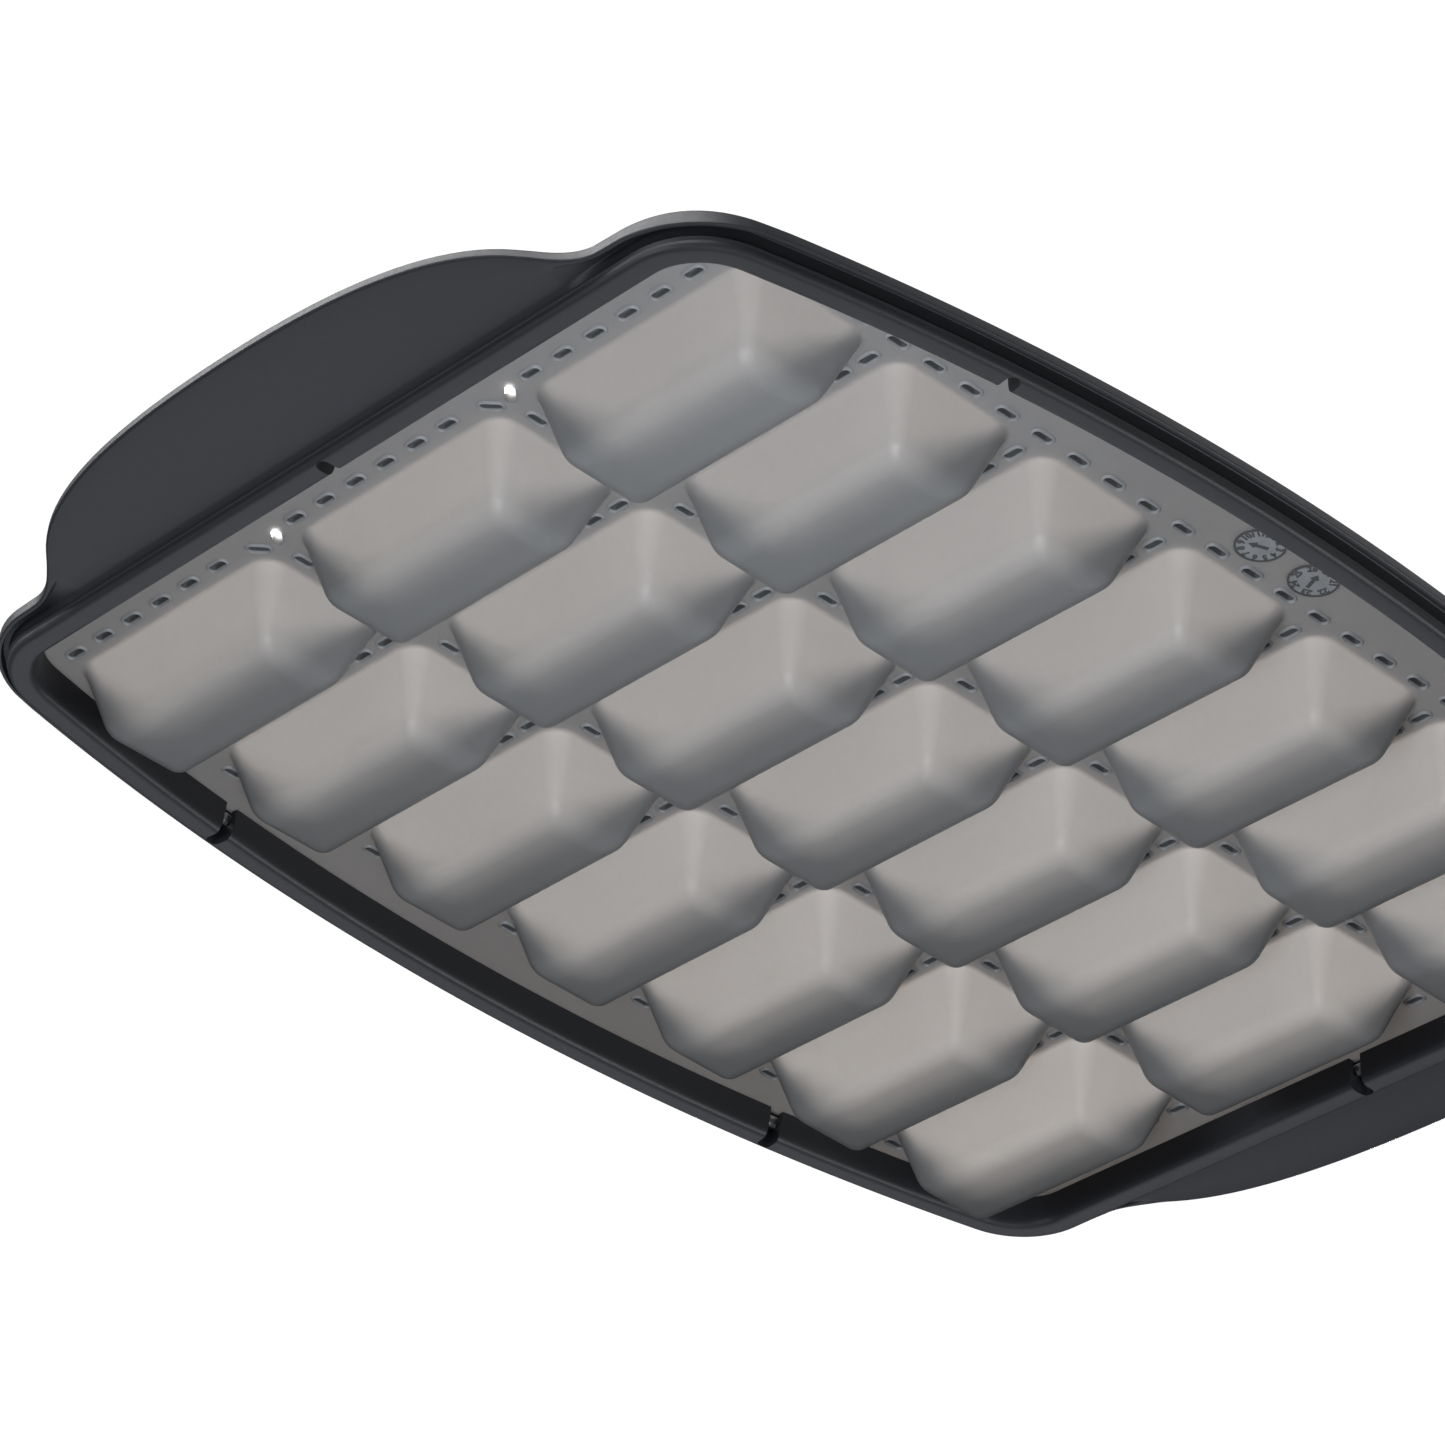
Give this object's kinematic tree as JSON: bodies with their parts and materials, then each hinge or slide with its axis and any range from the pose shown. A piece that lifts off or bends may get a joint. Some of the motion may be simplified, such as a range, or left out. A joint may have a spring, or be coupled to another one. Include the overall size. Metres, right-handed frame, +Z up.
{
  "type": "silicone financier mould",
  "caption": "Flat silicone baking mould with rows of small rectangular cups, held in a dark rim with a bow-shaped handle at each end.",
  "frame": {"origin": "middle of the tray on the surface that the cup bases stand on", "axes": "+Z up, out of the cup openings; +X along the tray, from handle to handle; +Y along the cups"},
  "size_m": [0.2884, 0.2118, 0.0155],
  "materials": {
    "grey_silicone": "smooth matt silicone",
    "charcoal_rim": "satin charcoal silicone",
    "steel_wire": "bright drawn wire"
  },
  "bodies": {
    "root": {"mould_tray": "grey_silicone", "rim_frame": "charcoal_rim", "steel_ring": "steel_wire"}
  },
  "joints": []
}
